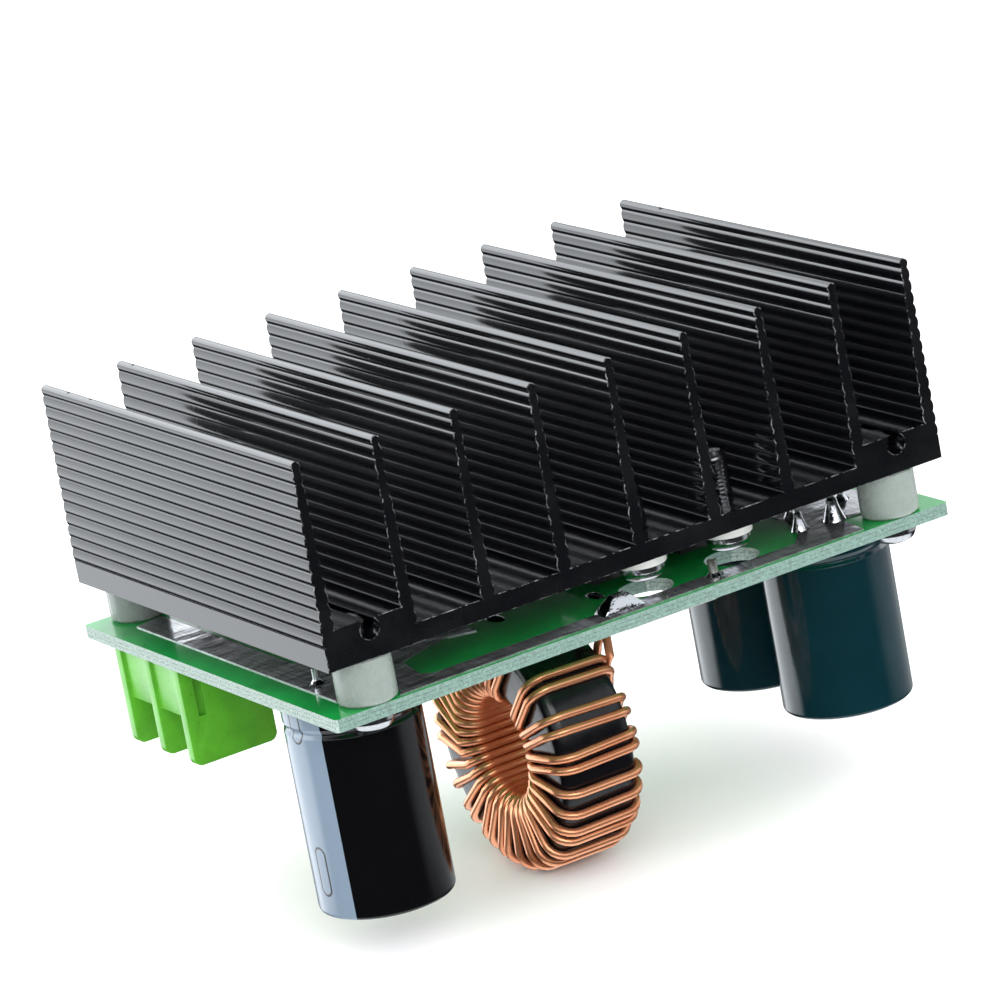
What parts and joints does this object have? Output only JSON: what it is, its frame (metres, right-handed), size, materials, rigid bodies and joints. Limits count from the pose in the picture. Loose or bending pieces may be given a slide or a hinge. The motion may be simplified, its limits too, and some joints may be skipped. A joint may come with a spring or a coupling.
{
  "type": "boost converter module",
  "caption": "Boost converter module: green board on white spacers under a black finned heatsink, with wound toroid, upright can capacitors and green barrier terminals.",
  "frame": {"origin": "centre of the four corner holes, on the board's component face", "axes": "+X across the fins along the board's long side, +Y along the fins, +Z from the board to the heatsink"},
  "size_m": [0.0868, 0.0655, 0.0652],
  "materials": {
    "anodised_aluminium": "black anodised, rippled fins",
    "board_laminate": "green mask over glass laminate",
    "solder": "wiped tin, streaky",
    "white_nylon": "milky, slightly see-through",
    "plated_steel": "bright plated",
    "pad_silicone": "grey silicone",
    "tinned_metal": "tin plated",
    "black_moulding": "black epoxy moulding",
    "coated_core": "glossy black coating",
    "enamelled_copper": "clear enamelled copper",
    "black_sleeve": "shrunk black film with a pale stripe",
    "teal_sleeve": "shrunk teal film",
    "bare_aluminium": "bright drawn",
    "black_rubber": "matt",
    "green_moulding": "bright green moulding",
    "blue_moulding": "blue moulding",
    "brass": "turned",
    "brown_ceramic": "fired ceramic",
    "resistance_alloy": "drawn wire"
  },
  "bodies": {
    "module": {"ceramic_capacitors": "brown_ceramic", "chip_resistors": "black_moulding", "circuit_board": "board_laminate", "controller_chip": "black_moulding", "controller_chip_legs": "tinned_metal", "corner_screws": "plated_steel", "current_shunt": "resistance_alloy", "heatsink": "anodised_aluminium", "inductor_core": "coated_core", "inductor_winding": "enamelled_copper", "input_capacitor_bung": "black_rubber", "input_capacitor_can": "black_sleeve", "input_capacitor_end": "bare_aluminium", "input_capacitor_leads": "tinned_metal", "input_terminal_contacts": "tinned_metal", "input_terminal_housing": "green_moulding", "input_terminal_screws": "plated_steel", "output_capacitor_1_bung": "black_rubber", "output_capacitor_1_can": "teal_sleeve", "output_capacitor_1_end": "bare_aluminium", "output_capacitor_1_leads": "tinned_metal", "output_capacitor_2_bung": "black_rubber", "output_capacitor_2_can": "teal_sleeve", "output_capacitor_2_end": "bare_aluminium", "output_capacitor_2_leads": "tinned_metal", "output_terminal_contacts": "tinned_metal", "output_terminal_housing": "green_moulding", "output_terminal_screws": "plated_steel", "rectifier_diode_body": "black_moulding", "rectifier_diode_bush": "white_nylon", "rectifier_diode_frame": "tinned_metal", "rectifier_diode_pad": "pad_silicone", "rectifier_diode_screw": "plated_steel", "solder_joints": "solder", "spacer_1": "white_nylon", "spacer_2": "white_nylon", "spacer_3": "white_nylon", "spacer_4": "white_nylon", "switch_transistor_body": "black_moulding", "switch_transistor_bush": "white_nylon", "switch_transistor_frame": "tinned_metal", "switch_transistor_pad": "pad_silicone", "switch_transistor_screw": "plated_steel", "tinned_tracks": "solder", "trimmer_body": "blue_moulding", "trimmer_pins": "tinned_metal"},
    "adjusting_screw": {"trimmer_screw": "brass"}
  },
  "joints": [
    {"name": "trimmer_turn", "type": "hinge", "parent": "module", "child": "adjusting_screw", "pos_m": [0.01235, 0.0265, -0.009], "axis": [0, 0, 1], "continuous": true}
  ]
}
